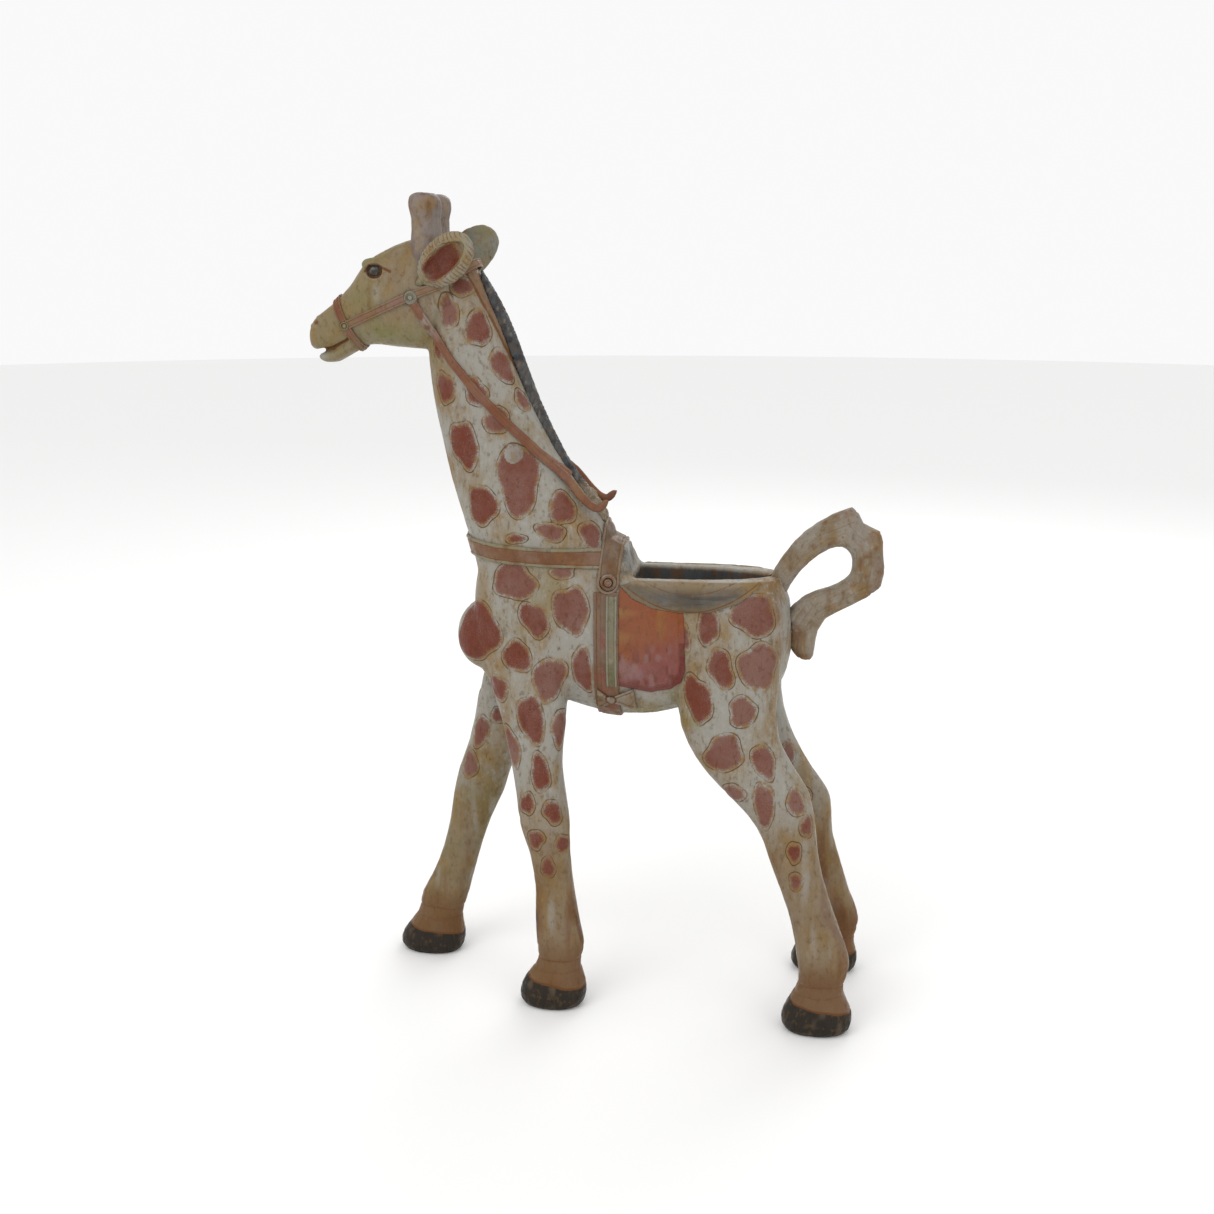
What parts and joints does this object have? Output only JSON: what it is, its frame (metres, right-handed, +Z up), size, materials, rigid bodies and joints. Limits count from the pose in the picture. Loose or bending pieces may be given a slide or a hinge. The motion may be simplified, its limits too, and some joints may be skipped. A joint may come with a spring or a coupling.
{
  "type": "carved giraffe statue",
  "caption": "Painted carved wooden giraffe standing on flat hooves, with carved bridle, straps and saddle cloth, a ring-shaped tail and a hollow trough in its back.",
  "frame": {"origin": "On the floor, under the middle of the box around the whole statue.", "axes": "+Z is up, the giraffe faces -X, and its left side, which the picture shows, is towards -Y."},
  "size_m": [0.684, 0.216, 0.983],
  "materials": {
    "spotted_body_paint": "carved softwood under a thin worn cream and grey-green wash, with engraved pink-brown spots, semi-matt",
    "lower_leg_paint": "carved softwood with a tan and yellow-cream wash and brown vertical streaks, semi-matt",
    "hoof_paint": "dark charcoal-brown worn paint on wood, semi-matt",
    "bare_wood_wash": "cream and tan wash with brown stains over wood, semi-matt",
    "ear_paint": "cream and grey-green wash over wood, red-brown hollow, semi-matt",
    "mane_paint": "dark grey dry-brushed paint over short carved strokes, matt",
    "eye_paint": "dark green-black paint, satin",
    "strap_paint": "pink-brown worn paint with pale piping lines, semi-matt",
    "rein_paint": "red-brown worn paint, semi-matt",
    "boss_paint": "orange-brown worn paint over turned rings, semi-matt",
    "green_paint": "grey-green worn paint, semi-matt",
    "cloth_paint": "orange-red and pink worn paint, semi-matt",
    "lip_paint": "grey-blue and cream worn paint, semi-matt",
    "dowel_wood": "plain turned wood, hidden in the joints"
  },
  "bodies": {
    "root": {"trunk_left_side": "spotted_body_paint", "trunk_right_side": "spotted_body_paint", "trunk_floor": "spotted_body_paint", "chest_block": "spotted_body_paint", "rump_block": "spotted_body_paint", "neck_block": "spotted_body_paint", "head_block": "spotted_body_paint", "ear_left": "ear_paint", "ear_right": "ear_paint", "horn_left": "bare_wood_wash", "horn_right": "bare_wood_wash", "eyes": "eye_paint", "mane": "mane_paint", "tail": "bare_wood_wash", "front_left_upper_leg": "spotted_body_paint", "front_right_upper_leg": "spotted_body_paint", "rear_left_upper_leg": "spotted_body_paint", "rear_right_upper_leg": "spotted_body_paint", "front_left_lower_leg": "lower_leg_paint", "front_right_lower_leg": "lower_leg_paint", "rear_left_lower_leg": "lower_leg_paint", "rear_right_lower_leg": "lower_leg_paint", "front_left_hoof": "hoof_paint", "front_right_hoof": "hoof_paint", "rear_left_hoof": "hoof_paint", "rear_right_hoof": "hoof_paint", "halter": "strap_paint", "halter_rings": "boss_paint", "halter_rosettes": "green_paint", "rein_left": "rein_paint", "rein_right": "rein_paint", "breast_strap": "strap_paint", "withers_strap": "strap_paint", "strap_bosses": "boss_paint", "girth_strap": "strap_paint", "girth_overlay_left": "green_paint", "girth_overlay_right": "green_paint", "girth_bows": "boss_paint", "saddle_cloth_left": "cloth_paint", "saddle_cloth_right": "cloth_paint", "rim_lip_left": "lip_paint", "rim_lip_right": "lip_paint", "hip_dowels": "dowel_wood", "knee_dowels": "dowel_wood", "hoof_dowels": "dowel_wood", "neck_dowels": "dowel_wood", "head_dowel": "dowel_wood", "trunk_dowels": "dowel_wood", "tail_dowels": "dowel_wood"}
  },
  "joints": []
}
